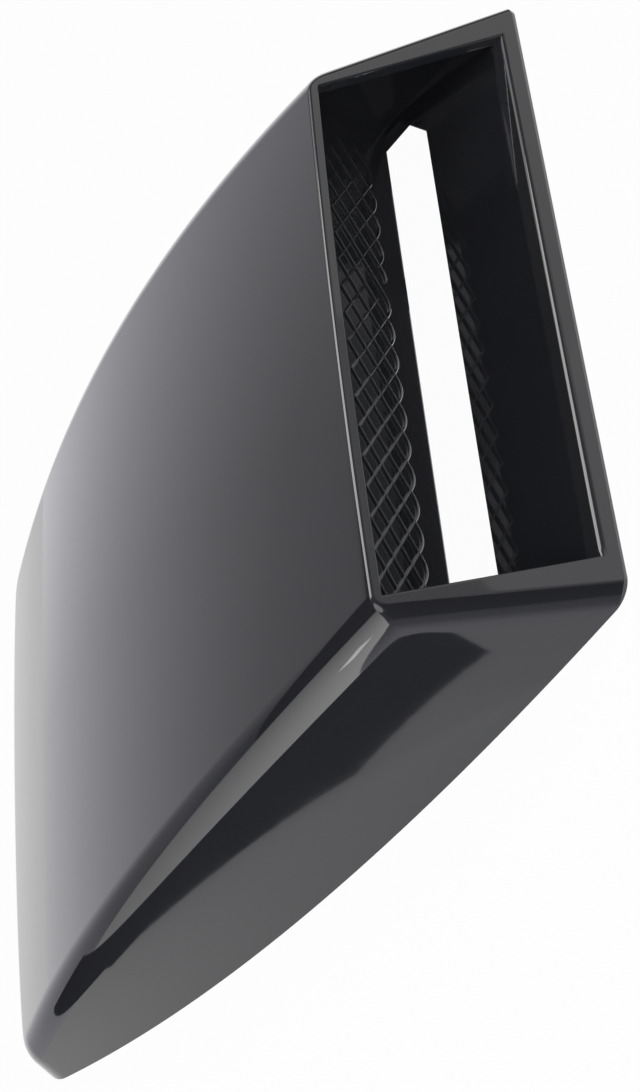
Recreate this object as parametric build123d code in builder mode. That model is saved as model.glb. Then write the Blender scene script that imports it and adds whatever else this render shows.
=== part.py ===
"""Stick-on bonnet scoop: one moulding with a raked mouth, a mesh on its back wall and an open underside."""

import os
from math import atan, cos, hypot, pi, radians, sin, tan

from build123d import *

# Outline on the bonnet, in millimetres: X across, Y from the mouth to the tail, Z up off the bonnet.
length = 284.2  # lower lip to the middle of the tail
mouth_width = 240.0  # across the lower lip
front_swell_width = 262.0  # pull of the sides' curve a third of the way back
rear_swell_width = 258.3  # pull of the sides' curve two thirds of the way back
tail_width = 204.2  # between the two tail corners
tail_bow = 7.8  # how far the tail bulges behind its corners
tail_sweep = 30.0  # angle of the tail's curve where it leaves a corner, in degrees
tail_corner_radius = 16.0

# Walls: how far a wall leans in for each millimetre of height.
mouth_draft = 0.368
tail_draft = 0.27
wall = 1.8

# Top panel: heights that pull its side-view curve, evenly spaced from the lower lip to past the tail.
lip_height = 40.0
brow_height = 48.0
shoulder_height = 45.6
tail_height = 3.4
tail_run = 8.5  # how far the curve goes on behind the tail
crown = 1.0  # how far the middle of the panel stands above the crown's edges
crown_width = 260.0
fold_radius = 11.0  # rounding of the fold between the panel and the walls

# Mouth: a sloping face, with a blunt lower lip.
rake = 41.7  # slope of the mouth, in degrees
lip_land = 1.0  # height of the blunt lower lip
cheek_radius = 5.5  # rounding of the mouth's face at both sides
cheek_turn = 60.0  # how far that rounding turns, in degrees
cheek_set = 4.0  # from the start of that rounding to the outside of the wall
lip_radius = 1.8  # rounding of the outer edge of the mouth's face
opening_foot = 212.0  # width of the opening at the floor
opening_head = 205.4  # width of the opening at the panel
rim_depth = 3.0  # thickness of the cheeks beside the opening
sill_radius = 1.2  # rounding where the lower lip turns into the floor

# Floor of the mouth, the slot behind it, and the back wall.
floor = 3.2
slot_front = 43.0  # from the lower lip to the slot
slot_width = 228.0
slot_corner_long = 13.0  # bevelled front corners of the slot, across and along
slot_corner_short = 8.0
back_wall = 60.5  # from the lower lip to the face of the back wall
back_wall_foot = 4.5  # height of the back wall's lower edge

# Diamond mesh on the back wall.
mesh_pitch = 11.6  # across a diamond
mesh_rise = 6.12  # up a diamond
mesh_columns = 17
mesh_rows = 3
mesh_middle = 20.4  # height of the middle of the mesh
mesh_height = 1.2  # how far the ridges stand out of the wall
mesh_crest = 0.7  # width of a ridge at its crest
mesh_taper = 22.0  # slope of a ridge's flanks, in degrees

front = -length / 2
side_length = length - tail_bow
loft_height = 60.0
clear = 20.0  # how far a cutting shape runs past what it cuts
foot = 4.0  # how far the walls run below the bonnet before they are trimmed
fold_turn = pi / 2 - atan(mouth_draft)  # from a wall round to the panel
fold_bevel = (fold_radius - wall) * tan(fold_turn / 2)  # inside the fold, ending where a rounding would
mouth_reach = (lip_height - lip_land) / tan(radians(rake))  # from the lower lip back to the upper one

mouth_plane = Plane(
    origin=(0, front, lip_land),
    x_dir=(1, 0, 0),
    z_dir=(0, -sin(radians(rake)), cos(radians(rake))),
)

side_widths = (mouth_width, front_swell_width, rear_swell_width, tail_width)


def side_half(distance):
    """Half the width on the bonnet, at a distance behind the lower lip."""
    along = distance / side_length
    shares = ((1 - along) ** 3, 3 * along * (1 - along) ** 2, 3 * along**2 * (1 - along), along**3)
    return sum(share * width / 2 for share, width in zip(shares, side_widths))


def plan_outline(height, inset):
    """Outline of the walls at a height above the bonnet, moved inwards by inset."""
    drafts = (mouth_draft, (mouth_draft + tail_draft) / 2, tail_draft, tail_draft)
    halves = [width / 2 - inset - draft * height for width, draft in zip(side_widths, drafts)]
    pull = inset + tail_draft * height
    corner_y = front + side_length - pull
    third = (corner_y - front) / 3
    bow = tail_bow * 4 / 3  # a curve comes three quarters of the way to its control points
    reach = bow / tan(radians(tail_sweep))
    with BuildSketch(Plane.XY.offset(height)) as outline:
        with BuildLine():
            Line((-halves[0], front), (halves[0], front))
            for side in (1, -1):
                Bezier(*[(side * half, front + step * third) for step, half in enumerate(halves)])
            Bezier(
                (halves[3], corner_y),
                (halves[3] - reach, corner_y + bow),
                (reach - halves[3], corner_y + bow),
                (-halves[3], corner_y),
            )
        make_face()
        corners = outline.vertices().group_by(Axis.Y)[-1]
        fillet(corners, tail_corner_radius - inset)
    return outline.sketch


def top_profile(x, inset):
    """Side view of everything under the top panel, at a distance x from the middle."""
    drop = inset - crown * (1 - (2 * x / crown_width) ** 2)
    heights = (lip_height, brow_height, shoulder_height, tail_height)
    third = (length + tail_run) / 3
    points = [(front + step * third, height - drop) for step, height in enumerate(heights)]
    with BuildSketch(Plane.YZ.offset(x)) as profile:
        with BuildLine():
            Bezier(*points)
            Polyline(
                points[-1],
                (points[-1][0], -clear),
                (points[0][0], -clear),
                points[0],
            )
        make_face()
    return profile.sketch


def sharp_body(inset):
    """Solid under the outer surface, or under the inner one when inset is the wall's thickness."""
    with BuildPart() as body:
        loft([plan_outline(-foot, inset), plan_outline(loft_height, inset)], ruled=True)
        edge = crown_width / 2
        loft([top_profile(x, inset) for x in (-edge, 0, edge)], mode=Mode.INTERSECT)
    return body.part


def fold_edges(body):
    """Edges of the top panel along the sides and the tail."""
    panel = body.faces().sort_by(Axis.Z)[-1]
    return panel.edges().sort_by(Axis.Y)[1:]


def mouth_section(climb):
    """Space in front of the mouth, in a plane square to its slope, with a rounding at each side."""
    front_slope = (side_half(mouth_reach) - side_half(0)) / mouth_reach
    height = lip_land + climb * sin(radians(rake))
    half = mouth_width / 2 + front_slope * climb * cos(radians(rake)) - mouth_draft * height
    flat = half - cheek_set
    turn = radians(cheek_turn)
    end = (flat + cheek_radius * sin(turn), cheek_radius * (1 - cos(turn)))
    far = (end[0] + clear * cos(turn), end[1] + clear * sin(turn))
    ahead = -loft_height
    across = Plane(
        origin=mouth_plane.from_local_coords(Vector(0, climb, 0)),
        x_dir=(1, 0, 0),
        z_dir=mouth_plane.y_dir,
    )
    with BuildSketch(across) as section:
        with BuildLine():
            Line((-flat, 0), (flat, 0))
            for side in (1, -1):
                TangentArc((side * flat, 0), (side * end[0], end[1]), tangent=(side, 0))
                Line((side * end[0], end[1]), (side * far[0], far[1]))
                Line((side * far[0], far[1]), (side * far[0], ahead))
            Line((-far[0], ahead), (far[0], ahead))
        make_face()
    return section.sketch


def outline_of(faces):
    """Edges round the outside of a group of faces."""
    edges = [edge for face in faces for edge in face.edges()]
    return [edge for edge in edges if sum(edge.is_same(other) for other in edges) == 1]


def diamond_points(margin):
    """Corners of one diamond of the mesh, with its sides moved outwards by margin."""
    across = mesh_pitch / 2
    up = mesh_rise / 2
    grow = 1 + margin * hypot(across, up) / (across * up)
    return [(across * grow, 0), (0, up * grow), (-across * grow, 0), (0, -up * grow)]


mesh_grids = ((mesh_columns, mesh_rows), (mesh_columns + 1, mesh_rows - 1))

with BuildPart() as outer:
    add(sharp_body(0))
    fillet(fold_edges(outer), fold_radius)

with BuildPart() as core:
    add(sharp_body(wall))
    chamfer(fold_edges(core), fold_bevel)

# Space inside the mouth: over the floor, in front of the back wall and between the two cheeks.
with BuildPart() as mouth_space:
    add(core.part)
    with BuildSketch(Plane.XY.offset(floor)):
        with Locations((0, front + back_wall / 2)):
            Rectangle(mouth_width + 2 * clear, back_wall)
    extrude(amount=loft_height, mode=Mode.INTERSECT)
    with BuildSketch(mouth_plane.offset(-rim_depth)):
        with BuildLine():
            climb = lip_height / sin(radians(rake))
            Polyline(
                (opening_foot / 2, 0),
                (opening_head / 2, climb),
                (mouth_width, climb),
                (mouth_width, 0),
                close=True,
            )
        make_face()
        mirror(about=Plane.YZ)
    extrude(amount=rim_depth + clear, mode=Mode.SUBTRACT)

# Hollow behind the back wall, open to the bonnet.
with BuildPart() as rear_space:
    add(core.part)
    with BuildSketch(Plane.XY.offset(-clear)):
        with Locations((0, front + back_wall + wall + length / 2)):
            Rectangle(mouth_width + 2 * clear, length)
    extrude(amount=loft_height + clear, mode=Mode.INTERSECT)

with BuildPart() as scoop:
    add(outer.part)
    loft([mouth_section(-clear), mouth_section(2 * loft_height)], ruled=True, mode=Mode.SUBTRACT)
    # The mouth's own faces are the only ones that lie wholly in the front half.
    mouth_faces = scoop.faces().filter_by(
        lambda face: face.bounding_box().max.Y < 0 and face.bounding_box().max.Z > floor
    )
    lip = [edge for edge in outline_of(mouth_faces) if edge.bounding_box().max.Z > floor]
    fillet(lip, lip_radius)
    split(bisect_by=Plane.XY)
    add(mouth_space.part, mode=Mode.SUBTRACT)
    add(rear_space.part, mode=Mode.SUBTRACT)
    sill = scoop.edges().filter_by(Axis.X).filter_by_position(Axis.Z, floor, floor).sort_by(Axis.Y)[0]
    fillet(sill, sill_radius)

    # Slot between the floor and the back wall, which stops short of the bonnet.
    with BuildSketch():
        with BuildLine():
            half = slot_width / 2
            near = front + slot_front
            Polyline(
                (0, near),
                (half - slot_corner_long, near),
                (half, near + slot_corner_short),
                (half, front + back_wall + wall),
                (0, front + back_wall + wall),
                close=True,
            )
        make_face()
        mirror(about=Plane.YZ)
    extrude(amount=back_wall_foot, mode=Mode.SUBTRACT)

    # Raised diamond mesh on the back wall, as a pad with a pocket for each diamond.
    mesh_plane = Plane(
        origin=(0, front + back_wall, mesh_middle),
        x_dir=(1, 0, 0),
        z_dir=(0, -1, 0),
    )
    with BuildSketch(mesh_plane):
        for columns, rows in mesh_grids:
            with GridLocations(mesh_pitch, mesh_rise, columns, rows):
                Polygon(*diamond_points(mesh_crest / 2))
    extrude(amount=mesh_height)
    with BuildSketch(mesh_plane.offset(mesh_height)):
        for columns, rows in mesh_grids:
            with GridLocations(mesh_pitch, mesh_rise, columns, rows):
                Polygon(*diamond_points(-mesh_crest / 2))
    extrude(amount=-mesh_height, taper=mesh_taper, mode=Mode.SUBTRACT)

scoop.part.label = "scoop"
os.makedirs("parts", exist_ok=True)
export_step(scoop.part, "parts/scoop.step")
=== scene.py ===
# %% [markdown]
# # A stick-on bonnet scoop
#
# The scoop is one gloss black moulding, about 28 cm long: a domed panel over leaning walls, a raked mouth
# at the front, a floor with a slot behind it, and a back wall with a raised diamond mesh. The frame is the
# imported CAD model, in metres: X runs across, Y from the mouth to the tail, and Z up off the bonnet.

from math import cos, radians, sin, tan

import bmesh
import bpy
import numpy as np
from mathutils import Matrix, Vector


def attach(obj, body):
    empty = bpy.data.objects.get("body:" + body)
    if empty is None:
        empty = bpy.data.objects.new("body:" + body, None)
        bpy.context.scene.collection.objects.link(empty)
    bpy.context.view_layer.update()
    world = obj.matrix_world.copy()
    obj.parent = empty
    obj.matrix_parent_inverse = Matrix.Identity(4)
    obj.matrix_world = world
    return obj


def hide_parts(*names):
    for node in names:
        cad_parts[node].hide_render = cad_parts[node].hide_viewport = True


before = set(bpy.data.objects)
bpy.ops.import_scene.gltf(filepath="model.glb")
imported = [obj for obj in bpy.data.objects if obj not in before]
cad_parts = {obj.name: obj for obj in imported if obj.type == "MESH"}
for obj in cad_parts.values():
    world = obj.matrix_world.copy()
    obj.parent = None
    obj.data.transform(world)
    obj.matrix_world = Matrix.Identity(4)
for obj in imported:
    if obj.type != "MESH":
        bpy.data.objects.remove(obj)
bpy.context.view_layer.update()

# %% [markdown]
# ## The shape of the shell
#
# A gloss surface is a mirror, so it shows every facet. The CAD mesh is true to shape, but its long thin
# triangles would make the reflections ripple. The shell is therefore laid again from the CAD's own sizes,
# as an even net of quads. The outline is a curve on each side, a bowed tail, and an arc at each tail corner.

# %% Sizes of the shell, in millimetres
LENGTH = 284.2
SIDE_WIDTHS = (240.0, 262.0, 258.3, 204.2)  # widths that pull the sides' curve, from the mouth to the tail
SIDE_DRAFTS = (0.368, 0.319, 0.27, 0.27)  # how far the wall leans in there, for each millimetre of height
TAIL_BOW = 7.8
TAIL_SWEEP = radians(30)
TAIL_CORNER = 16.0
WALL = 1.8
TOP_HEIGHTS = (40.0, 48.0, 45.6, 3.4)  # heights that pull the panel's side view
TAIL_RUN = 8.5
CROWN = 1.0
CROWN_WIDTH = 260.0
FOLD_RADIUS = 11.0
LOFT_HEIGHT = 60.0
FOOT = 4.0  # the walls run on below the bonnet, and are trimmed later

FRONT = -LENGTH / 2
SIDE_LENGTH = LENGTH - TAIL_BOW


def curve(points, shares):
    """Points at shares of the way along a cubic curve with four control points."""
    a, b, c, d = [np.asarray(point, float) for point in points]
    t = np.asarray(shares)[:, None]
    return a * (1 - t) ** 3 + 3 * b * t * (1 - t) ** 2 + 3 * c * t**2 * (1 - t) + d * t**3


def pick(line, places):
    """Points of a line at places counted in steps, with parts of a step allowed."""
    steps = np.arange(len(line))
    return np.stack([np.interp(places, steps, values) for values in line.T], axis=-1)


def inward(line):
    """Directions to the left of a line on the bonnet, which is the inside here."""
    along = np.gradient(line, axis=0)
    along /= np.linalg.norm(along, axis=1)[:, None]
    return np.stack([-along[:, 1], along[:, 0]], axis=1)


SIDE_STEPS, CORNER_STEPS, TAIL_STEPS = 600, 16, 24
SIDE_SAMPLES, TAIL_SAMPLES = 4001, 2001  # fine points, from which the steps are picked
LEAD = 0.06  # share of the side's curve that runs on ahead of the mouth


def half_outline(height, inset):
    """Right half of the walls' outline at a height, from ahead of the mouth to the middle of the tail."""
    halves = [width / 2 - inset - draft * height for width, draft in zip(SIDE_WIDTHS, SIDE_DRAFTS)]
    corner_y = FRONT + SIDE_LENGTH - inset - SIDE_DRAFTS[3] * height
    third = (corner_y - FRONT) / 3
    bow = TAIL_BOW * 4 / 3  # a curve comes three quarters of the way to its control points
    reach = bow / tan(TAIL_SWEEP)
    pulls = [(half, FRONT + step * third) for step, half in enumerate(halves)]
    side = curve(pulls, np.linspace(-LEAD, 1, SIDE_SAMPLES))
    tail = curve(
        [
            (halves[3], corner_y),
            (halves[3] - reach, corner_y + bow),
            (reach - halves[3], corner_y + bow),
            (-halves[3], corner_y),
        ],
        np.linspace(0, 0.5, TAIL_SAMPLES),
    )
    radius = TAIL_CORNER - inset
    side_in = side + radius * inward(side)
    tail_in = tail + radius * inward(tail)
    # The corner's centre is where the two lines, moved in by its radius, cross.
    gap = side_in[:, 1] - np.interp(side_in[:, 0], tail_in[::-1, 0], tail_in[::-1, 1])
    last = np.flatnonzero(gap < 0)[-1]
    side_end = last + gap[last] / (gap[last] - gap[last + 1])
    centre = pick(side_in, [side_end])[0]
    tail_start = np.interp(-centre[0], -tail_in[:, 0], np.arange(len(tail_in)))
    side = pick(side, np.linspace(0, side_end, SIDE_STEPS + 1))
    tail = pick(tail, np.linspace(tail_start, len(tail) - 1, TAIL_STEPS + 1))
    turns = [np.arctan2(*(point - centre)[::-1]) for point in (side[-1], tail[0])]
    turn = np.linspace(turns[0], turns[1], CORNER_STEPS + 1)
    corner = centre + radius * np.stack([np.cos(turn), np.sin(turn)], axis=1)
    return np.concatenate([side[:-1], corner[:-1], tail])


outline = half_outline(0, 0)
print("outline: %d places, %.1f mm wide at most" % (len(outline), 2 * outline[:, 0].max()))

# %% [markdown]
# The panel follows one curve in side view and bulges a little across. The fold between the panel and a wall
# is the path of a ball that rolls along, touching both. A few rounds of correction find how high the ball
# touches the wall at each place. The rounding is then an arc about the ball's centre.

# %% Panel, walls and fold
WALL_ROWS, FOLD_ROWS = 14, 14
BALL_ROUNDS, BALL_STEP = 80, 0.7  # rounds of correction, and the share of the miss that each takes away


def panel_height(x, y, inset):
    t = (y - FRONT) / (LENGTH + TAIL_RUN)
    a, b, c, d = TOP_HEIGHTS
    rise = a * (1 - t) ** 3 + 3 * b * t * (1 - t) ** 2 + 3 * c * t**2 * (1 - t) + d * t**3
    return rise + CROWN * (1 - (2 * x / CROWN_WIDTH) ** 2) - inset


def panel_facing(x, y):
    """Directions that the panel faces."""
    step = 0.01
    slope_x = (panel_height(x + step, y, 0) - panel_height(x - step, y, 0)) / (2 * step)
    slope_y = (panel_height(x, y + step, 0) - panel_height(x, y - step, 0)) / (2 * step)
    facing = np.stack([-slope_x, -slope_y, np.ones_like(slope_x)], axis=-1)
    return facing / np.linalg.norm(facing, axis=-1)[..., None]


def swing(start, end, share):
    """Directions on the way from one direction to another, turning evenly."""
    angle = np.arccos(np.clip((start * end).sum(-1), -1, 1))[..., None]
    return (np.sin((1 - share) * angle) * start + np.sin(share * angle) * end) / np.sin(angle)


def wall_rows(inset):
    """Points of the right wall and its fold, in rows from the bonnet up, and the way that each faces."""
    low, high = half_outline(-FOOT, inset), half_outline(LOFT_HEIGHT, inset)
    climb = np.concatenate([high - low, np.full((len(low), 1), LOFT_HEIGHT + FOOT)], axis=1)
    base = np.concatenate([low, np.full((len(low), 1), -FOOT)], axis=1)
    facing = np.cross(np.gradient(base + climb / 2, axis=0), climb)
    facing[-1, 0] = 0  # the middle of the tail faces straight back
    facing /= np.linalg.norm(facing, axis=1)[:, None]
    radius = FOLD_RADIUS - inset
    touch = np.full(len(low), 0.5)  # share of the climb at which the ball touches the wall
    up = np.tile([0.0, 0.0, 1.0], (len(low), 1))
    for _ in range(BALL_ROUNDS):
        centre = base + touch[:, None] * climb - radius * facing
        top = centre + radius * up
        up = panel_facing(top[:, 0], top[:, 1])
        miss = panel_height(top[:, 0], top[:, 1], inset) - top[:, 2]
        touch += BALL_STEP * miss / (LOFT_HEIGHT + FOOT)
    points, faces = [], []
    for share in np.linspace(0, 1, WALL_ROWS + 1):
        points.append(base + share * touch[:, None] * climb)
        faces.append(facing)
    for share in np.linspace(0, 1, FOLD_ROWS + 1)[1:]:
        faces.append(swing(facing, up, share))
        points.append(centre + radius * faces[-1])
    return np.array(points), np.array(faces)


outer_points, outer_faces = wall_rows(0)
miss = outer_points[-1][:, 2] - panel_height(outer_points[-1][:, 0], outer_points[-1][:, 1], 0)
print("fold meets the panel within %.5f mm" % np.abs(miss).max())

# %% [markdown]
# ## The mouth's edge
#
# The front is cut on a slope, and its edge is rounded: broadly on the two cheeks and finely on the upper lip.
# A boolean followed by a bevel would leave long thin faces there. The edge is instead rolled like the fold:
# each row of the net starts where a ball touches both that row and the slope.

# %% Rounded edge of the mouth
RAKE = radians(41.7)
LIP_LAND = 1.0
CHEEK_RADIUS = 6.5
LIP_RADIUS = 2.6
SIDE_COLUMNS, EDGE_STEPS = 76, 8

mouth_facing = np.array([0, -sin(RAKE), cos(RAKE)])
mouth_origin = np.array([0, FRONT, LIP_LAND])


def slope_start(points, faces, radius):
    """Place along a row, in steps, where the ball touches the row and the mouth's slope."""
    ahead = (points - radius * faces - mouth_origin) @ mouth_facing + radius
    last = np.flatnonzero(ahead[:SIDE_STEPS] > 0)[-1]
    return last + ahead[last] / (ahead[last] - ahead[last + 1])


def edge_radius(row):
    """Rounding of the mouth's edge at a row: the cheek's up the wall, easing to the lip's over the fold."""
    share = np.clip((row - WALL_ROWS) / FOLD_ROWS, 0, 1)
    return CHEEK_RADIUS + (LIP_RADIUS - CHEEK_RADIUS) * share**2 * (3 - 2 * share)


starts = [slope_start(*pair, edge_radius(row)) for row, pair in enumerate(zip(outer_points, outer_faces))]
after_side = np.arange(SIDE_STEPS + 1, outer_points.shape[1])
right_wall, edge_points, edge_faces = [], [], []
for points, faces, start in zip(outer_points, outer_faces, starts):
    places = np.concatenate([np.linspace(start, SIDE_STEPS, SIDE_COLUMNS + 1), after_side])
    right_wall.append(pick(points, places))
    edge_points.append(right_wall[-1][0])
    edge_faces.append(pick(faces, [start])[0])
right_wall = np.array(right_wall)
print("right wall: %d rows of %d points" % right_wall.shape[:2])

# %% [markdown]
# The panel fills the space between the two folds, the tail and the upper lip. A Coons patch spreads the net
# evenly between four borders, and each point is then lifted to the panel's height. The borders are taken
# point for point from the walls, so the nets can be welded.

# %% Panel between the folds
MIRROR = np.array([-1, 1, 1])
LIP_ROUNDS = 60


def shares_of(line):
    """How far along a line each of its points is, from 0 to 1."""
    run = np.concatenate([[0], np.cumsum(np.linalg.norm(np.diff(line, axis=0), axis=1))])
    return run / run[-1]


def panel_net(fold, columns, front_of, inset):
    """Points of the panel inside one fold, with a front border that front_of works out from its widths."""
    corner = columns + CORNER_STEPS // 2
    right, half_tail = fold[: corner + 1], fold[corner:]
    tail = np.concatenate([half_tail, half_tail[-2::-1] * MIRROR])
    left = right * MIRROR
    v = shares_of(right)[:, None, None]
    u = shares_of(tail)[None, :, None]
    front = front_of(right[0, 0] * (1 - 2 * u[0, :, 0]), right[0, 1])
    net = (1 - v) * front + v * tail + (1 - u) * right[:, None] + u * left[:, None]
    net -= (1 - v) * ((1 - u) * right[0] + u * left[0]) + v * ((1 - u) * right[-1] + u * left[-1])
    net[..., 2] = panel_height(net[..., 0], net[..., 1], inset)
    net[0], net[-1], net[:, 0], net[:, -1] = front, tail, right, left
    return net


def lip_line(x, start_y):
    """Line across the panel along which the lip's rounding starts."""
    y = np.full_like(x, start_y)
    for _ in range(LIP_ROUNDS):
        points = np.stack([x, y, panel_height(x, y, 0)], axis=1)
        y += (points - LIP_RADIUS * panel_facing(x, y) - mouth_origin) @ mouth_facing + LIP_RADIUS
    return np.stack([x, y, panel_height(x, y, 0)], axis=1)


panel = panel_net(right_wall[-1], SIDE_COLUMNS, lip_line, 0)
lip_faces = panel_facing(panel[0, :, 0], panel[0, :, 1])
edge_points, edge_faces = np.array(edge_points), np.array(edge_faces)
edge_radii = np.array([edge_radius(row) for row in range(len(edge_points))])
rim = np.concatenate([edge_points[:-1], panel[0], edge_points[-2::-1] * MIRROR])
rim_faces = np.concatenate([edge_faces[:-1], lip_faces, edge_faces[-2::-1] * MIRROR])
lip_radii = np.full(len(lip_faces), LIP_RADIUS)
rim_radii = np.concatenate([edge_radii[:-1], lip_radii, edge_radii[-2::-1]])[:, None]
slope_faces = np.tile(mouth_facing, (len(rim), 1))
mouth_edge = np.array([
    rim + rim_radii * (swing(rim_faces, slope_faces, share) - rim_faces)
    for share in np.linspace(0, 1, EDGE_STEPS + 1)
])
print("panel: %d by %d points; mouth's edge: %d points" % (*panel.shape[:2], len(rim)))

# %% [markdown]
# ## From nets to a closed shell
#
# The nets are welded to one skin, which is trimmed flat at the bonnet and at the lower lip. Each trim closes
# its own cut, so the body is a closed solid that booleans can work on. A fan of trims round an upright axis
# then blunts the two lower corners of the mouth, which fingers meet first.

# %% Outer body
FLOOR = 3.8
CORNER_RADIUS, CORNER_TRIMS = 7.0, 9


def add_net(body, net):
    """Adds a net of points to a body as quads."""
    corners = [[body.verts.new(point) for point in row] for row in net]
    for row, beyond in zip(corners, corners[1:]):
        for step in range(len(row) - 1):
            body.faces.new((row[step], row[step + 1], beyond[step + 1], beyond[step]))


def weld(body):
    bmesh.ops.remove_doubles(body, verts=body.verts, dist=1e-4)
    bmesh.ops.recalc_face_normals(body, faces=body.faces)


def trim(body, point, facing):
    """Cuts off what lies on the side that facing points to, and closes the cut with one flat face."""
    everything = body.verts[:] + body.edges[:] + body.faces[:]
    cut = bmesh.ops.bisect_plane(
        body, geom=everything, dist=1e-5, plane_co=point, plane_no=facing, clear_outer=True
    )
    edges = [item for item in cut["geom_cut"] if isinstance(item, bmesh.types.BMEdge)]
    bmesh.ops.edgeloop_fill(body, edges=edges)
    bmesh.ops.recalc_face_normals(body, faces=body.faces)


def open_edges(body):
    return sum(not edge.is_manifold for edge in body.edges)


outer = bmesh.new()
for net in (right_wall, right_wall * MIRROR, panel, mouth_edge):
    add_net(outer, net)
outer.faces.new([outer.verts.new(point) for point in mouth_edge[-1]])
weld(outer)
trim(outer, (0, 0, 0), (0, 0, -1))
trim(outer, (0, FRONT, 0), (0, -1, 0))
# How far a wall spreads for each millimetre back from the mouth.
splay = 3 * (SIDE_WIDTHS[1] - SIDE_WIDTHS[0]) / 2 / SIDE_LENGTH
corner_x = SIDE_WIDTHS[0] / 2 + (splay - (1 + splay**2) ** 0.5) * CORNER_RADIUS
for side in (1, -1):
    for turn in np.linspace(0, np.pi / 2 - splay, CORNER_TRIMS + 2)[1:-1]:
        facing = np.array([side * sin(turn), -cos(turn), 0])
        trim(outer, (side * corner_x, FRONT + CORNER_RADIUS, 0) + CORNER_RADIUS * facing, facing)


def describe(name, body):
    print("%s: %d faces, %d open edges, %.1f cm3" % (
        name, len(body.faces), open_edges(body), body.calc_volume() / 1000
    ))


describe("outer body", outer)

# %% [markdown]
# ## The hollow inside
#
# The inside skin is the outer one moved in by the thickness of the wall, so one solid core serves for both
# hollows. One copy of it is trimmed to the space in the mouth, over the floor, and one to the open space
# behind the back wall. With the slot they are the three cutters of a boolean.

# %% Core and cutters
RIM_DEPTH = 3.0
OPENING_FOOT = 212.0
OPENING_HEAD = 205.4
BACK_WALL = 60.5
BACK_WALL_FOOT = 4.5
SLOT_FRONT = 42.1
SLOT_WIDTH = 237.0
SLOT_CORNER = (16.0, 11.0)  # bevelled front corners, across and along
CORNER_BLOCK = 5.0  # how far the solid corners beside the slot's rear end reach back
OVERLAP = 0.5  # cutters that meet run into each other by this much
AHEAD = 8.0  # how far the core runs out of the mouth
STRIDE, ROW_STRIDE = 6, 2  # the inside is seen less, so its net is coarser

inner_points, _ = wall_rows(WALL)
side_places, end_places = np.arange(0, SIDE_STEPS, STRIDE), np.arange(SIDE_STEPS, inner_points.shape[1])
inner_places = np.concatenate([side_places, end_places])
inner_wall = np.array([pick(points, inner_places) for points in inner_points[::ROW_STRIDE]])


def straight_front(x, y):
    return np.stack([x, np.full_like(x, y), panel_height(x, np.full_like(x, y), WALL)], axis=1)


def core():
    """Closed body inside the shell, from ahead of the mouth to the tail and down past the bonnet."""
    body = bmesh.new()
    inner_panel = panel_net(inner_wall[-1], SIDE_STEPS // STRIDE, straight_front, WALL)
    for net in (inner_wall, inner_wall * MIRROR, inner_panel):
        add_net(body, net)
    front_end = np.concatenate([inner_wall[:-1, 0], inner_panel[0], inner_wall[-2::-1, 0] * MIRROR])
    body.faces.new([body.verts.new(point) for point in front_end])
    weld(body)
    trim(body, (0, 0, -FOOT / 2), (0, 0, -1))
    trim(body, (0, FRONT - AHEAD, 0), (0, -1, 0))
    return body


mouth_hollow = core()
trim(mouth_hollow, (0, 0, FLOOR), (0, 0, -1))
trim(mouth_hollow, (0, FRONT + BACK_WALL, 0), (0, 1, 0))

rear_hollow = core()
trim(rear_hollow, (0, FRONT + BACK_WALL + WALL, 0), (0, -1, 0))

slot = bmesh.new()
half, near, far = SLOT_WIDTH / 2, FRONT + SLOT_FRONT, FRONT + BACK_WALL + WALL + OVERLAP
right_side = [(half - SLOT_CORNER[0], near), (half, near + SLOT_CORNER[1]), (half, far)]
slot_outline = right_side + [(-x, y) for x, y in reversed(right_side)]
sole = slot.faces.new([slot.verts.new((x, y, -FOOT / 2)) for x, y in slot_outline])
raised = bmesh.ops.extrude_face_region(slot, geom=[sole])["geom"]
raised = [item for item in raised if isinstance(item, bmesh.types.BMVert)]
bmesh.ops.translate(slot, verts=raised, vec=(0, 0, BACK_WALL_FOOT + FOOT / 2))
bmesh.ops.recalc_face_normals(slot, faces=slot.faces)

cutters = {"mouth_hollow": mouth_hollow, "rear_hollow": rear_hollow, "slot": slot}
for name, body in cutters.items():
    describe(name, body)

# %% [markdown]
# The cheeks at both sides of the opening are only a rim, so the hollow widens behind them. Each cheek is a
# wedge, cut out of a block by the back of the rim and the side of the opening, and taken off its cutter. The
# corners beside the slot's rear end stay solid in the same way, by a small block taken off the other one.

# %% Cheeks and corners
mouth_up = np.array([0, cos(RAKE), sin(RAKE)])
opening_climb = TOP_HEIGHTS[0] / sin(RAKE)


def cheek(side):
    body = bmesh.new()
    bmesh.ops.create_cube(body, size=2 * LENGTH)
    trim(body, mouth_origin - RIM_DEPTH * mouth_facing, -mouth_facing)
    foot = mouth_origin + (side * OPENING_FOOT / 2, 0, 0)
    head = mouth_origin + (side * OPENING_HEAD / 2, 0, 0) + opening_climb * mouth_up
    trim(body, foot, -side * np.cross(head - foot, mouth_facing))
    return body


def corner_block(side):
    body = bmesh.new()
    bmesh.ops.create_cube(body, size=2 * CORNER_BLOCK)
    place = (side * (SLOT_WIDTH / 2 + CORNER_BLOCK), FRONT + BACK_WALL + WALL, 0)
    bmesh.ops.translate(body, verts=body.verts, vec=place)
    return body


cheeks = {"right_cheek": cheek(1), "left_cheek": cheek(-1)}
blocks = {"right_block": corner_block(1), "left_block": corner_block(-1)}
for name, body in (cheeks | blocks).items():
    print("%s: %d faces, %d open edges" % (name, len(body.faces), open_edges(body)))

# %% [markdown]
# An exact boolean can cut a mesh from a mesh without gaps, as long as both are closed. Each cutter is an
# object for the length of the cut only, and the result is made the shell's own mesh.

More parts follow.
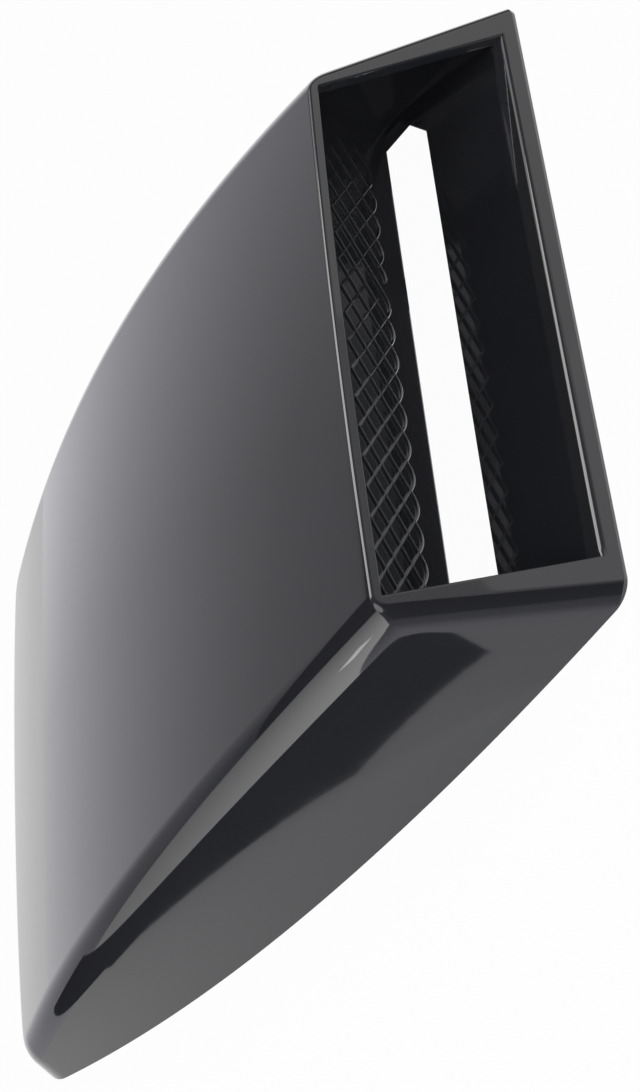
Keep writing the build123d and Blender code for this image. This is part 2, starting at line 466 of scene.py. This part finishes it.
# %% Hollow shell
def piece_of(body, name):
    """Object with the mesh of a body, still in millimetres."""
    mesh = bpy.data.meshes.new(name)
    body.to_mesh(mesh)
    body.free()
    piece = bpy.data.objects.new(name, mesh)
    bpy.context.collection.objects.link(piece)
    return piece


def plain_mesh(piece):
    """Makes the result of a piece's modifiers its own mesh, and removes the modifiers."""
    bpy.context.view_layer.update()
    mesh = bpy.data.meshes.new_from_object(piece.evaluated_get(bpy.context.evaluated_depsgraph_get()))
    piece.modifiers.clear()
    piece.data = mesh
    mesh.name = piece.name


def cut_away(piece, cutters):
    """Takes cutters, which are used up, away from a piece."""
    for cutter in cutters:
        cut = piece.modifiers.new(cutter.name, "BOOLEAN")
        cut.operation = "DIFFERENCE"
        cut.solver = "EXACT"
        cut.object = cutter
    plain_mesh(piece)
    for cutter in cutters:
        bpy.data.objects.remove(cutter)


shell = piece_of(outer, "scoop_shell")
cutter_pieces = [piece_of(body, name) for name, body in cutters.items()]
cut_away(cutter_pieces[0], [piece_of(body, name) for name, body in cheeks.items()])
cut_away(cutter_pieces[1], [piece_of(body, name) for name, body in blocks.items()])
cut_away(shell, cutter_pieces)
body = bmesh.new()
body.from_mesh(shell.data)
bmesh.ops.remove_doubles(body, verts=body.verts, dist=1e-3)
describe("hollow shell", body)

# %% [markdown]
# A mould has no knife edges, and on gloss plastic it is the small roundings that catch the light. The sharp
# edges of the mouth's face are picked by where they lie and how far they turn, and each gets a weight for a
# bevel. Weighted normals then keep the flat faces flat, right up to the roundings beside them.

# %% Soft edges round the opening
SOFT_WIDTHS = {"land": 0.15, "sill": 1.3, "cheek": 1.0, "lip": 0.4}  # width of each bevel on the mouth's face
CORNER_REACH = 3.0  # how much of the sill belongs to a corner
SHALLOW, MIDDLING, SHARP = radians(25), radians(60), radians(115)  # turns that part the kinds of edge


def soft_edge(edge):
    """Which of the mouth's soft edges an edge belongs to, if any."""
    turn = edge.calc_face_angle(0)
    ahead = [abs((np.array(vert.co) - mouth_origin) @ mouth_facing) for vert in edge.verts]
    if max(ahead) > 1e-3 or turn < SHALLOW:
        return None
    if max(vert.co.z for vert in edge.verts) < FLOOR - 0.1:
        return "land"
    return "sill" if turn < MIDDLING else "cheek" if turn < SHARP else "lip"


# The long sill is parted near its ends, so that what the bevel does in a corner stays there.
sills = [edge for edge in body.edges if soft_edge(edge) == "sill"]
for edge in [edge for edge in sills if edge.calc_length() > 4 * CORNER_REACH]:
    for vert in edge.verts[:]:
        bmesh.utils.edge_split(edge, vert, CORNER_REACH / edge.calc_length())
widest = max(SOFT_WIDTHS.values())
weight = body.edges.layers.float.new("bevel_weight_edge")
soft = {edge: soft_edge(edge) for edge in body.edges}
for edge, kind in soft.items():
    edge[weight] = SOFT_WIDTHS.get(kind, 0) / widest
print("soft edges:", {kind: list(soft.values()).count(kind) for kind in SOFT_WIDTHS})
body.to_mesh(shell.data)
body.free()
bevel = shell.modifiers.new("soft edges", "BEVEL")
bevel.limit_method = "WEIGHT"
bevel.width = widest
bevel.segments = 4
bevel.use_clamp_overlap = False
plain_mesh(shell)
shell.data.transform(Matrix.Scale(0.001, 4))
shell.data.shade_smooth()
shell.data.set_sharp_from_angle(angle=radians(24))
weights = shell.modifiers.new("flat faces first", "WEIGHTED_NORMAL")
weights.keep_sharp = True
weights.weight = 100
plain_mesh(shell)
print("shell: %d faces" % len(shell.data.polygons))

# %% [markdown]
# ## The diamond mesh
#
# The back wall carries a raised mesh of diamonds, closed behind. Every ridge is the same small bar, so a
# Geometry Nodes tree lays them out. Chevrons on a grid give the upper and the lower sides of the diamonds,
# the lowest row is closed by round loops, and half diamonds finish the two ends.

# %% Node helper
def add_node(tree, kind, inputs=None, **settings):
    """Adds a node with its settings, and fills its inputs with values or with one or more outputs."""
    node = tree.nodes.new(kind)
    for name, value in settings.items():
        setattr(node, name, value)
    for socket, value in (inputs or {}).items():
        for source in value if isinstance(value, list) else [value]:
            if isinstance(source, bpy.types.NodeSocket):
                tree.links.new(source, node.inputs[socket])
            else:
                node.inputs[socket].default_value = source
    return node


# %% [markdown]
# The tree first works out lengths from its inputs, then the corners of one diamond, and then the lines
# between them. Tables name each length and each corner, so that later ones can be made from earlier ones.

# %% Lengths and corners of a diamond
LENGTHS = (
    ("half pitch", "MULTIPLY", "Pitch", 0.5),
    ("minus half pitch", "MULTIPLY", "Pitch", -0.5),
    ("half rise", "MULTIPLY", "Rise", 0.5),
    ("minus half rise", "MULTIPLY", "Rise", -0.5),
    ("loop pull", "MULTIPLY", "Loop Depth", -2.0),
    ("half ridge", "MULTIPLY", "Ridge Width", 0.5),
    ("gaps across", "SUBTRACT", "Columns", 1.0),
    ("gaps up", "SUBTRACT", "Rows", 1.0),
    ("width", "MULTIPLY", "Pitch", "gaps across"),
    ("height", "MULTIPLY", "Rise", "gaps up"),
    ("short height", "SUBTRACT", "height", "Rise"),
    ("row start", "MULTIPLY", "width", -0.5),
    ("row foot", "MULTIPLY", "height", -0.5),
    ("end foot", "MULTIPLY", "short height", -0.5),
    ("right end", "MULTIPLY", "half pitch", "Columns"),
    ("left end", "MULTIPLY", "minus half pitch", "Columns"),
)
CORNERS = (
    ("left", "minus half pitch", 0.0),
    ("right", "half pitch", 0.0),
    ("top", 0.0, "half rise"),
    ("bottom", 0.0, "minus half rise"),
    ("loop middle", 0.0, "loop pull"),
    ("ridge section", "half ridge", "Ridge Height"),
    ("first of row", "row start", "row foot"),
    ("step across", "Pitch", 0.0),
    ("step up", 0.0, "Rise"),
    ("left end foot", "left end", "end foot"),
    ("right end foot", "right end", "end foot"),
)
LINES = (("left", "top"), ("top", "right"), ("right", "bottom"), ("bottom", "left"))
print("diamond: %d lengths, %d corners and %d lines" % (len(LENGTHS), len(CORNERS), len(LINES)))

# %% [markdown]
# Each line becomes a half-round ridge, by a stretched circle swept along it. The ridges are then set on the
# points of grids. A ridge is round because the mould's grooves were, and a round ridge always has one place
# that mirrors a light, which is what makes the mesh show.

# %% Tree of the diamond mesh
LOOP_STEPS, SECTION_STEPS = 10, 12


def diamond_mesh_tree(material):
    tree = bpy.data.node_groups.new("diamond_mesh", "GeometryNodeTree")
    for name in ("Pitch", "Rise", "Ridge Width", "Ridge Height", "Loop Depth"):
        tree.interface.new_socket(name, in_out="INPUT", socket_type="NodeSocketFloat")
    for name in ("Columns", "Rows"):
        tree.interface.new_socket(name, in_out="INPUT", socket_type="NodeSocketInt")
    tree.interface.new_socket("Place", in_out="INPUT", socket_type="NodeSocketVector")
    tree.interface.new_socket("Mesh", in_out="OUTPUT", socket_type="NodeSocketGeometry")
    made = {output.name: output for output in add_node(tree, "NodeGroupInput").outputs}
    for name, operation, *pair in LENGTHS:
        inputs = {place: made.get(item, item) for place, item in enumerate(pair)}
        made[name] = add_node(tree, "ShaderNodeMath", inputs, operation=operation).outputs[0]
    for name, x, y in CORNERS:
        inputs = {"X": made.get(x, x), "Y": made.get(y, y)}
        made[name] = add_node(tree, "ShaderNodeCombineXYZ", inputs).outputs[0]
    for line in LINES:
        ends = {"Start": made[line[0]], "End": made[line[1]]}
        made[line] = add_node(tree, "GeometryNodeCurvePrimitiveLine", ends).outputs[0]
    pulls = {"Start": made["left"], "Middle": made["loop middle"], "End": made["right"]}
    pulls["Resolution"] = LOOP_STEPS
    loop = add_node(tree, "GeometryNodeCurveQuadraticBezier", pulls).outputs[0]
    circle = {"Resolution": SECTION_STEPS, "Radius": 1.0}
    circle = add_node(tree, "GeometryNodeCurvePrimitiveCircle", circle).outputs[0]
    stretch = {"Geometry": circle, "Scale": made["ridge section"]}
    section = add_node(tree, "GeometryNodeTransform", stretch).outputs[0]

    # Points to build on: every diamond's middle, those between two rows, the lowest row, and the two ends.
    grid = {"Size X": made["width"], "Vertices X": made["Columns"]}
    tall = {"Size Y": made["height"], "Vertices Y": made["Rows"]}
    short = {"Size Y": made["short height"], "Vertices Y": made["gaps up"]}
    every = add_node(tree, "GeometryNodeMeshGrid", grid | tall).outputs[0]
    between = add_node(tree, "GeometryNodeMeshGrid", grid | short).outputs[0]
    raised = {"Geometry": between, "Translation": made["top"]}
    between = add_node(tree, "GeometryNodeTransform", raised).outputs[0]
    rows = (
        ("Columns", "first of row", "step across"),
        ("gaps up", "left end foot", "step up"),
        ("gaps up", "right end foot", "step up"),
    )
    lowest, left_end, right_end = [
        add_node(
            tree, "GeometryNodeMeshLine",
            {"Count": made[count], "Start Location": made[start], "Offset": made[step]},
        ).outputs[0]
        for count, start, step in rows
    ]
    upper_left, upper_right, lower_right, lower_left = [made[line] for line in LINES]
    sets = (
        (every, [upper_left, upper_right]),
        (between, [lower_right, lower_left]),
        (lowest, [loop]),
        (left_end, [upper_left, lower_left]),
        (right_end, [upper_right, lower_right]),
    )
    ridges = []
    for points, lines in sets:
        path = add_node(tree, "GeometryNodeJoinGeometry", {0: lines}).outputs[0]
        path = add_node(tree, "GeometryNodeSetCurveNormal", {"Curve": path}, mode="Z_UP").outputs[0]
        shape = {"Curve": path, "Profile Curve": section, "Fill Caps": True}
        ridge = add_node(tree, "GeometryNodeCurveToMesh", shape).outputs[0]
        copies = add_node(tree, "GeometryNodeInstanceOnPoints", {"Points": points, "Instance": ridge})
        ridges.append(copies.outputs[0])
    mesh = add_node(tree, "GeometryNodeJoinGeometry", {0: ridges}).outputs[0]
    stand = {"Geometry": mesh, "Translation": made["Place"], "Rotation": (radians(90), 0, 0)}
    mesh = add_node(tree, "GeometryNodeTransform", stand).outputs[0]
    mesh = add_node(tree, "GeometryNodeRealizeInstances", {"Geometry": mesh}).outputs[0]
    mesh = add_node(tree, "GeometryNodeSetMaterial", {"Geometry": mesh, "Material": material}).outputs[0]
    add_node(tree, "NodeGroupOutput", {"Mesh": mesh})
    return tree


# %% [markdown]
# ## Gloss ABS
#
# The scoop is moulded in black ABS and left at the high gloss of its polished mould. Black plastic shows
# almost nothing of its own: what the eye gets is a mirror image of the room, weak face on and strong at a
# shallow angle. A faint waviness, the orange peel of moulded gloss, keeps it from looking like glass.

# %% Material
CLOUD_SIZE = 0.06  # metres
PEEL_LENGTH, PEEL_HEIGHT = 0.005, 4e-6  # metres


def linear(code):
    """Linear colour, with alpha, of an sRGB hex value."""
    values = [int(code[start:start + 2], 16) / 255 for start in (1, 3, 5)]
    values = [value / 12.92 if value <= 0.04045 else ((value + 0.055) / 1.055) ** 2.4 for value in values]
    return (*values, 1.0)


def gloss_abs():
    material = bpy.data.materials.new("moulded_gloss_black_abs")
    material.use_nodes = True
    tree = material.node_tree
    shader = tree.nodes["Principled BSDF"]
    shader.inputs["IOR"].default_value = 1.54
    shader.inputs["Coat Weight"].default_value = 0.8
    shader.inputs["Coat Roughness"].default_value = 0.02
    place = add_node(tree, "ShaderNodeTexCoord").outputs["Object"]
    # Clouds about 60 mm wide, in which the polish of the mould and so the gloss differ a little.
    clouds = {"Vector": place, "Scale": 1 / CLOUD_SIZE, "Detail": 2.0}
    clouds = add_node(tree, "ShaderNodeTexNoise", clouds).outputs[0]
    gloss = add_node(tree, "ShaderNodeMapRange", {0: clouds, 1: 0.3, 2: 0.7, 3: 0.03, 4: 0.06}).outputs[0]
    blacks = {"Factor": clouds, 6: linear("#26272b"), 7: linear("#2b2c30")}
    tint = add_node(tree, "ShaderNodeMix", blacks, data_type="RGBA").outputs[2]
    # Orange peel: waves about 5 mm long and a few thousandths of a millimetre high.
    peel = {"Vector": place, "Scale": 1 / PEEL_LENGTH, "Detail": 1.0}
    peel = add_node(tree, "ShaderNodeTexNoise", peel).outputs[0]
    waves = {"Height": peel, "Strength": 1.0, "Distance": PEEL_HEIGHT}
    waves = add_node(tree, "ShaderNodeBump", waves).outputs[0]
    tree.links.new(tint, shader.inputs["Base Color"])
    tree.links.new(gloss, shader.inputs["Roughness"])
    tree.links.new(waves, shader.inputs["Normal"])
    return material


abs_finish = gloss_abs()
shell.data.materials.clear()
shell.data.materials.append(abs_finish)
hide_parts("scoop")
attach(shell, "root")
print("finish:", abs_finish.name)

# %% [markdown]
# The tree takes its sizes by name, in metres. Its result is made a plain mesh, because a later step bakes and
# exports meshes only. The ridges share the shell's finish, as they came out of the same mould.

# %% Diamond mesh on the back wall
MESH_SIZES = {
    "Pitch": 0.0116, "Rise": 0.00612, "Ridge Width": 0.001, "Ridge Height": 0.0008, "Loop Depth": 0.0019,
    "Columns": 17, "Rows": 3, "Place": (0, (FRONT + BACK_WALL) / 1000, 0.0204),
}
diamond_mesh = bpy.data.objects.new("diamond_mesh", bpy.data.meshes.new("diamond_mesh"))
bpy.context.collection.objects.link(diamond_mesh)
layout = diamond_mesh.modifiers.new("layout", "NODES")
layout.node_group = diamond_mesh_tree(abs_finish)
for item in layout.node_group.interface.items_tree:
    if item.name in MESH_SIZES:
        layout[item.identifier] = MESH_SIZES[item.name]
plain_mesh(diamond_mesh)
diamond_mesh.data.shade_smooth()
diamond_mesh.data.set_sharp_from_angle(angle=radians(50))
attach(diamond_mesh, "root")
low, high = [[round(value * 1000, 1) for value in corner] for corner in (
    np.array(diamond_mesh.bound_box).min(axis=0), np.array(diamond_mesh.bound_box).max(axis=0)
)]
print("diamond mesh: %d faces, from %s to %s mm" % (len(diamond_mesh.data.polygons), low, high))

# %% [markdown]
# ## Studio
#
# A black gloss part is lit by what stands round it. The floor is white paper. To the camera it is plain
# white, with a small share of real paper that keeps the shadow. Reflections show it nearly as white.

# %% Floor
CAMERA_SHARE = 0.97  # share of plain white that the camera sees
MIRROR_SHARES, MIRROR_REACH = (0.75, 0.8), (0.7, 1.6)  # the same in reflections, near and far, and where
FLOOR_HALF, FLOOR_Z = 6, -1e-4


def white_paper():
    material = bpy.data.materials.new("white_paper")
    material.use_nodes = True
    tree = material.node_tree
    tree.nodes.clear()
    paper = add_node(tree, "ShaderNodeBsdfDiffuse", {"Color": linear("#f2f2f2")}).outputs[0]
    white = add_node(tree, "ShaderNodeEmission", {"Color": linear("#ffffff"), "Strength": 1.0}).outputs[0]
    rays = add_node(tree, "ShaderNodeLightPath").outputs
    clear = {0: rays["Is Camera Ray"], 1: rays["Is Transmission Ray"]}
    clear = add_node(tree, "ShaderNodeMath", clear, operation="MAXIMUM").outputs[0]
    clear = add_node(tree, "ShaderNodeMath", {0: clear, 1: CAMERA_SHARE}, operation="MULTIPLY").outputs[0]
    # Far from the object, where no shadow falls, reflections show the paper whiter.
    place = add_node(tree, "ShaderNodeTexCoord").outputs["Object"]
    distance = add_node(tree, "ShaderNodeVectorMath", {0: place}, operation="LENGTH").outputs["Value"]
    whiter = dict(enumerate((distance, *MIRROR_REACH, *MIRROR_SHARES)))
    whiter = add_node(tree, "ShaderNodeMapRange", whiter).outputs[0]
    share = {0: rays["Is Glossy Ray"], 1: whiter, 2: clear}
    share = add_node(tree, "ShaderNodeMath", share, operation="MULTIPLY_ADD").outputs[0]
    mixed = add_node(tree, "ShaderNodeMixShader", {0: share, 1: paper, 2: white}).outputs[0]
    add_node(tree, "ShaderNodeOutputMaterial", {"Surface": mixed})
    return material


floor = bpy.data.objects.new("floor", bpy.data.meshes.new("floor"))
floor_corners = [(x * FLOOR_HALF, y * FLOOR_HALF, FLOOR_Z) for x, y in ((-1, -1), (1, -1), (1, 1), (-1, 1))]
floor.data.from_pydata(floor_corners, [], [(0, 1, 2, 3)])
floor.data.materials.append(white_paper())
bpy.context.collection.objects.link(floor)
print("floor: %d m square" % (2 * FLOOR_HALF))

# %% [markdown]
# The background is white to the camera too. The plastic sees a room instead, light at the horizon and dark
# overhead, and that is what draws the soft run from light to dark along the panel.

# %% Background
ROOM_LOW, ROOM_HIGH = (0.88, 0.88, 0.91, 1), (0.15, 0.15, 0.16, 1)  # at the horizon and overhead
ROOM_LEVELS = ((0.1, 0.77), (0.3, 0.55), (0.46, 0.35), (0.52, 0.31), (0.64, 0.29), (0.75, 0.18))
BLUER = 1.06  # how much bluer than grey the room is

world = bpy.data.worlds.new("studio")
bpy.context.scene.world = world
world.use_nodes = True
tree = world.node_tree
tree.nodes.clear()
ray = add_node(tree, "ShaderNodeTexCoord").outputs["Generated"]
ray = add_node(tree, "ShaderNodeSeparateXYZ", {0: ray}).outputs
ramp = add_node(tree, "ShaderNodeValToRGB", {0: ray["Z"]})
ramp.color_ramp.elements[0].color = ROOM_LOW
ramp.color_ramp.elements[1].color = ROOM_HIGH
for place, level in ROOM_LEVELS:
    ramp.color_ramp.elements.new(place).color = (level, level, level * BLUER, 1)
# The room is a little lighter low on the right, where the far fold looks.
right = {0: ray["Z"], 1: -0.13, 2: ray["X"]}
right = add_node(tree, "ShaderNodeMath", right, operation="MULTIPLY_ADD").outputs[0]
level = add_node(tree, "ShaderNodeMapRange", {0: right, 1: 0.64, 2: 0.75, 3: 0.93, 4: 1.3}).outputs[0]
room = add_node(tree, "ShaderNodeBackground", {"Color": ramp.outputs[0], "Strength": level}).outputs[0]
backdrop = {"Color": linear("#ffffff"), "Strength": 1.0}
backdrop = add_node(tree, "ShaderNodeBackground", backdrop).outputs[0]
rays = add_node(tree, "ShaderNodeLightPath").outputs
clear = {0: rays["Is Camera Ray"], 1: rays["Is Transmission Ray"]}
clear = add_node(tree, "ShaderNodeMath", clear, operation="MAXIMUM").outputs[0]
mixed = add_node(tree, "ShaderNodeMixShader", {0: clear, 1: room, 2: backdrop}).outputs[0]
add_node(tree, "ShaderNodeOutputWorld", {"Surface": mixed})
print("background: %d levels from the horizon up" % len(ramp.color_ramp.elements))

# %% [markdown]
# The lights are cards that glow, because a gloss surface shows their shape and not only their light. A card
# is hidden from the camera. It is a curved net round the object, or a flat one that stands or lies, and it
# may run from one level to another along X.

# %% Studio cards
def card_light(name, levels, ends):
    """Light of a card, which runs from one level to another between two places along X."""
    material = bpy.data.materials.new(name)
    material.use_nodes = True
    tree = material.node_tree
    tree.nodes.clear()
    place = add_node(tree, "ShaderNodeTexCoord").outputs["Object"]
    across = add_node(tree, "ShaderNodeSeparateXYZ", {0: place}).outputs["X"]
    strength = dict(enumerate((across, *ends, *levels)))
    strength = add_node(tree, "ShaderNodeMapRange", strength).outputs[0]
    light = {"Color": linear("#ffffff"), "Strength": strength}
    light = add_node(tree, "ShaderNodeEmission", light).outputs[0]
    add_node(tree, "ShaderNodeOutputMaterial", {"Surface": light})
    return material


def dome(azimuths, elevations, distance):
    """Net of a card curved round the object. Azimuth 0 is behind the tail and 90 on the right, in degrees."""
    east = np.radians(np.linspace(*azimuths, 17))[None, :]
    up = np.radians(np.linspace(*elevations, 9))[:, None]
    rays = [np.sin(east) * np.cos(up), np.cos(east) * np.cos(up), np.sin(up) + 0 * east]
    return distance * np.stack(rays, axis=2)


def upright(y, *columns):
    """Net of a flat card that stands square to Y, from columns of an X and the Z of its foot and head."""
    return [[(x, y, column[end]) for x, *column in columns] for end in (0, 1)]


def lying(z, x_ends, y_ends):
    """Net of a flat card that lies on the floor."""
    return [[(x, y, z) for x in x_ends] for y in y_ends]


def studio_card(name, net, *levels):
    """Card of one light level, or of two, one at its lowest X and one at its highest."""
    body = bmesh.new()
    add_net(body, net)
    ends = [pick_end(vert.co.x for vert in body.verts) for pick_end in (min, max)]
    card = piece_of(body, name)
    card.data.materials.append(card_light(name, (levels[0], levels[-1]), ends))
    card.visible_camera = False


# %% [markdown]
# Each card draws something on the plastic. On the left, the soft box makes the light band along the near
# fold, and a dark card low down gives the wall its dark upper half. On the right, a lamp draws the bright
# lines on the lip and the sill. The cards in front make the mouth's flat rim grey and keep its inside dark.

# %% Cards on the left and behind
SOFT_BOX = ((-0.712, 0.07, 1.1), (-0.138, 0.09, 1.1))
SOFT_BOX_BULB = ((-0.56, 0.45, 0.54), (-0.49, 0.45, 0.54))
DARK_FOOT = ((-0.9, 0.034, 0.075), (-0.55, 0.0, 0.07), (-0.22, 0.0, 0.095), (-0.095, 0.06, 0.105))
DARK_FIELD = ((-0.138, 0.395, 0.75), (0.28, 0.395, 0.7), (0.45, 0.395, 0.5), (1.0, 0.395, 0.5))

studio_card("left_soft_box", upright(0.256, *SOFT_BOX), 2.3, 0.85)
studio_card("left_soft_box_bulb", upright(0.254, *SOFT_BOX_BULB), 4.5)
studio_card("left_dark_card", upright(0.255, *DARK_FOOT), 0.02)
studio_card("back_dark_card", upright(0.256, *DARK_FIELD), 0.03)
print("left and behind: a soft box with a bulb, and two dark cards")

# %% Cards on the right, in front and above
studio_card("right_lamp", dome((60, 90), (39, 57), 1.4), 2.8)
studio_card("right_lamp_foot", dome((62, 90), (33, 39), 1.4), 1.0)
studio_card("right_dark_card", dome((90, 107), (0, 60), 1.5), 0.15)
studio_card("right_front_card", dome((107, 128), (22, 35), 1.4), 0.65)
studio_card("right_front_card_head", dome((107, 128), (35, 44), 1.4), 0.45)
studio_card("front_card", dome((128, 147), (30, 38), 1.4), 0.72)
studio_card("front_card_head", dome((128, 147), (38, 46), 1.4), 0.42)
studio_card("front_dark_card", dome((140, 262), (44, 68), 1.6), 0.04)
studio_card("front_low_dark_card", dome((147, 192), (0, 46), 1.5), 0.2)
studio_card("front_low_card", dome((195, 255), (4, 30), 1.5), 2.4)
studio_card("top_soft_box", dome((-180, 180), (74, 90), 1.5), 1.5)
print("right, front and above: lamps, grey cards and dark cards")

# %% [markdown]
# The mesh is seen only by light that comes up through the slot. A dark sheet on the floor, painted shade
# where the scoop shades the floor under the slot, keeps the back wall black, and two narrow strips of light
# on it give each ridge a thin bright line.

# %% Shade and light under the slot
STRIP = (-0.087, -0.08)

# The shade sheet is painted shade: a dark card that reflections see where the scoop shades the floor.
studio_card("slot_shade", lying(-5e-5, (-0.12, 0.12), (-0.105, 0)), 0.02)
studio_card("slot_light", lying(-3e-5, (-0.118, 0.046), STRIP), 1.6)
studio_card("slot_light", lying(-3e-5, (0.06, 0.1), STRIP), 0.8)
print("under the slot: a shade and two strips of light")

# %% [markdown]
# ## Camera
#
# The camera looks down over the near corner of the mouth, from about 0.9 m away, and is turned on its side a
# good way. Its lens is long, so the edges that run back stay nearly parallel.

# %% Camera
camera = bpy.data.objects.new("camera", bpy.data.cameras.new("camera"))
bpy.context.collection.objects.link(camera)
camera.data.sensor_width = 36
camera.data.lens = 101.07
camera_place = Vector((-0.6202, -0.5382, 0.4163))
camera_right = Vector((-0.0793, -0.5673, -0.8197))
camera_down = Vector((-0.7292, 0.5935, -0.3404))
camera_view = Vector((0.6796, 0.5708, -0.4608))
turn = Matrix((camera_right, -camera_down, -camera_view)).transposed()
camera.matrix_world = Matrix.Translation(camera_place) @ turn.to_4x4()
bpy.context.scene.camera = camera
bpy.context.scene.view_settings.view_transform = "Standard"
print("camera: %.2f m from the middle of the base" % camera_place.length)
